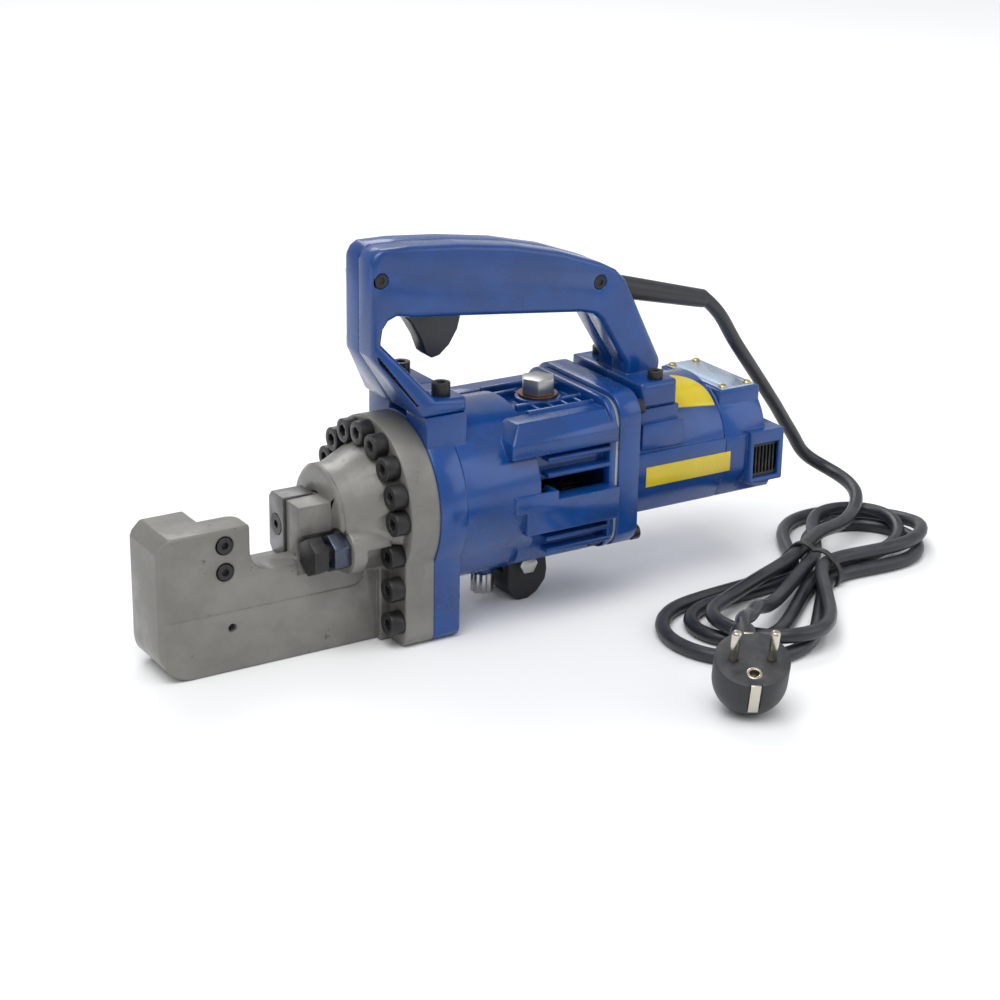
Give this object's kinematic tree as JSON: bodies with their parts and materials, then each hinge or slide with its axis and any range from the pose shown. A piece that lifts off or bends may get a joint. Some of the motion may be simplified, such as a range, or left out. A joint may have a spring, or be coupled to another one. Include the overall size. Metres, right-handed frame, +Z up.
{
  "type": "electric hydraulic rebar cutter",
  "caption": "Hand-held electric-hydraulic rebar cutter: open shear head with a sliding cutter, finned pump case, motor, carry handle with trigger, and a tied mains lead with plug.",
  "frame": {"origin": "on the ground, under the middle of the tool's box, its cord left out", "axes": "+X from the shear head to the motor's rear, +Y across the tool to the side away from the stopper bolt, +Z up"},
  "size_m": [0.485, 0.2592, 0.21],
  "materials": {
    "grey_paint": "satin hammered grey enamel, scuffed",
    "blue_enamel": "gloss blue enamel over castings",
    "cutter_steel": "ground tool steel",
    "black_screw": "black oxide, oily",
    "locknut_steel": "blued steel",
    "rod_chrome": "hard chrome",
    "seal_rubber": "oil-resistant rubber",
    "cord_rubber": "matt black jacket",
    "plug_rubber": "moulded black rubber",
    "foot_rubber": "black rubber",
    "bronze": "machined bronze",
    "screw_brass": "bright brass",
    "copper": "copper colour",
    "spring_steel": "oiled spring wire",
    "bright_steel": "zinc plated and machined",
    "shaft_steel": "ground steel",
    "gear_steel": "cut steel, oiled",
    "pump_iron": "machined cast iron",
    "gasket_silver": "soft metal shim",
    "laminations": "stacked electrical steel",
    "fan_plastic": "moulded black",
    "carbon": "pressed carbon",
    "grille_black": "moulded black",
    "plate_aluminium": "anodised sheet",
    "label_yellow": "printed film, left blank",
    "trigger_plastic": "moulded black",
    "tie_black": "black tie",
    "contact_nickel": "nickel-plated brass"
  },
  "bodies": {
    "tool": {"front_block": "grey_paint", "fixed_cutter": "cutter_steel", "fixed_cutter_screws": "black_screw", "rod_bush": "bronze", "rod_wiper": "seal_rubber", "return_spring": "spring_steel", "stopper_locknut": "locknut_steel", "flange_gasket": "seal_rubber", "flange_screws": "black_screw", "pump_case": "blue_enamel", "oil_plug": "bright_steel", "oil_plug_washer": "copper", "pump_block": "pump_iron", "pump_plunger": "bright_steel", "plunger_spring": "spring_steel", "check_ball": "bright_steel", "valve_plug": "bright_steel", "shaft_bearings": "shaft_steel", "case_gasket": "gasket_silver", "bearing_plate": "blue_enamel", "armature_bearings": "shaft_steel", "motor_housing": "blue_enamel", "stator_core": "laminations", "field_coils": "copper", "brush_holders": "bronze", "carbon_brushes": "carbon", "rear_cover": "blue_enamel", "intake_grilles": "grille_black", "motor_screws": "black_screw", "nameplate": "plate_aluminium", "nameplate_screws": "screw_brass", "warning_labels": "label_yellow", "handle_near": "blue_enamel", "handle_far": "blue_enamel", "handle_screws": "black_screw", "trigger_switch": "trigger_plastic", "support_foot": "foot_rubber", "foot_bolt": "bright_steel", "strain_relief": "plug_rubber", "mains_lead": "cord_rubber", "cord_bundle": "cord_rubber", "cord_tie": "tie_black", "plug_lead": "cord_rubber", "plug_body": "plug_rubber", "plug_contacts": "contact_nickel"},
    "piston_group": {"piston": "rod_chrome", "piston_seal": "seal_rubber", "moving_cutter": "cutter_steel", "moving_cutter_screw": "black_screw"},
    "trigger_lever": {"trigger": "trigger_plastic"},
    "stopper": {"stopper_bolt": "black_screw"},
    "release_knob": {"release_valve": "bright_steel"},
    "armature": {"armature_shaft": "shaft_steel", "motor_pinion": "gear_steel", "armature_core": "laminations", "commutator": "copper", "cooling_fan": "fan_plastic"},
    "eccentric": {"eccentric_shaft": "shaft_steel", "eccentric_bearing": "shaft_steel", "driven_gear": "gear_steel"}
  },
  "joints": [
    {"name": "piston_slide", "type": "slide", "parent": "tool", "child": "piston_group", "axis": [-1, 0, 0], "range_m": [0, 0.031], "stiffness_N_per_m": 1200, "deforming": ["return_spring"]},
    {"name": "trigger_pull", "type": "hinge", "parent": "tool", "child": "trigger_lever", "pos_m": [-0.033, 0, 0.186], "axis": [0, -1, 0], "range_deg": [0, 8], "stiffness_Nm_per_rad": 1},
    {"name": "stopper_screw", "type": "slide", "parent": "tool", "child": "stopper", "axis": [-1, 0, 0], "range_m": [-0.002, 0.002]},
    {"name": "release_turn", "type": "hinge", "parent": "tool", "child": "release_knob", "pos_m": [0.013, 0, 0.01], "axis": [0, 0, 1], "range_deg": [0, 180]},
    {"name": "armature_spin", "type": "hinge", "parent": "tool", "child": "armature", "pos_m": [0.1, 0, 0.075], "axis": [1, 0, 0], "continuous": true},
    {"name": "eccentric_spin", "type": "hinge", "parent": "tool", "child": "eccentric", "pos_m": [0.04, 0, 0.0525], "axis": [1, 0, 0], "continuous": true}
  ],
  "couplings": [
    {"joint": "eccentric_spin", "follows": "armature_spin", "ratio": -0.28571}
  ]
}
